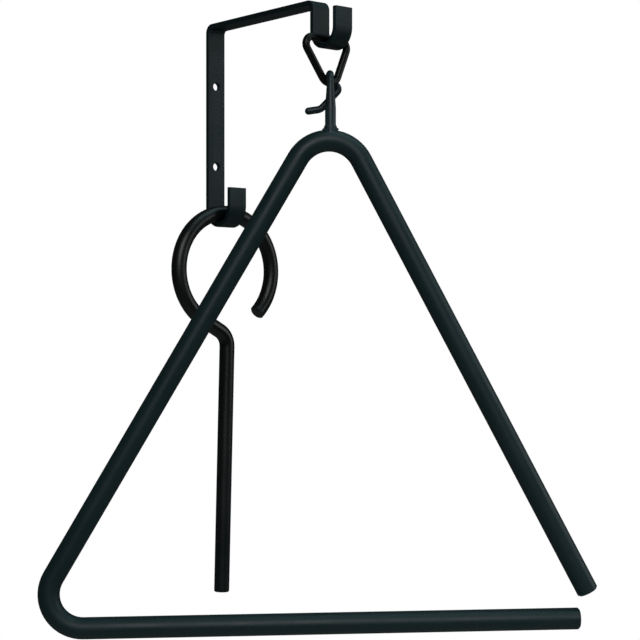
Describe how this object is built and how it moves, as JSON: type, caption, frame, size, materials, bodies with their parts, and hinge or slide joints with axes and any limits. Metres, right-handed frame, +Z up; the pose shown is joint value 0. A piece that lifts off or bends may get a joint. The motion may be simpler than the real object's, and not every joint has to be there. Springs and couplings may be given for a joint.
{
  "type": "wall-hung dinner bell",
  "caption": "Steel triangle dinner bell on a wire ring, hung from a flat-strap wall bracket with a loop-handled striker.",
  "frame": {"origin": "on the wall, half way between the two screw holes of the bracket", "axes": "+Z is up, +Y points into the wall, +X is to the right for someone facing the wall"},
  "size_m": [0.2652, 0.2172, 0.372],
  "materials": {
    "strap_paint": "satin black paint over rolled flat steel strap",
    "ring_paint": "satin black paint over bent steel wire",
    "bell_paint": "satin graphite-black paint over round steel bar",
    "hook_paint": "satin black paint over a forged steel hook and its weld",
    "striker_paint": "satin black paint over round steel rod"
  },
  "bodies": {
    "bracket": {"bracket": "strap_paint"},
    "ring": {"hanging_ring": "ring_paint"},
    "bell": {"triangle_bar": "bell_paint", "hanger_hook": "hook_paint", "hook_weld": "hook_paint"},
    "striker": {"striker": "striker_paint"}
  },
  "joints": [
    {"name": "ring_swing", "type": "hinge", "parent": "bracket", "child": "ring", "pos_m": [-0.0012, -0.116, 0.04007], "axis": [-1, 0, 0], "range_deg": [-1, 60]},
    {"name": "bell_turn", "type": "hinge", "parent": "ring", "child": "bell", "pos_m": [-0.0012, -0.116, 0.01445], "axis": [0, 0, 1], "range_deg": [-2, 70]},
    {"name": "striker_swing", "type": "hinge", "parent": "bracket", "child": "striker", "pos_m": [0, -0.01293, -0.09146], "axis": [0, 1, 0], "range_deg": [-25, 25]}
  ]
}
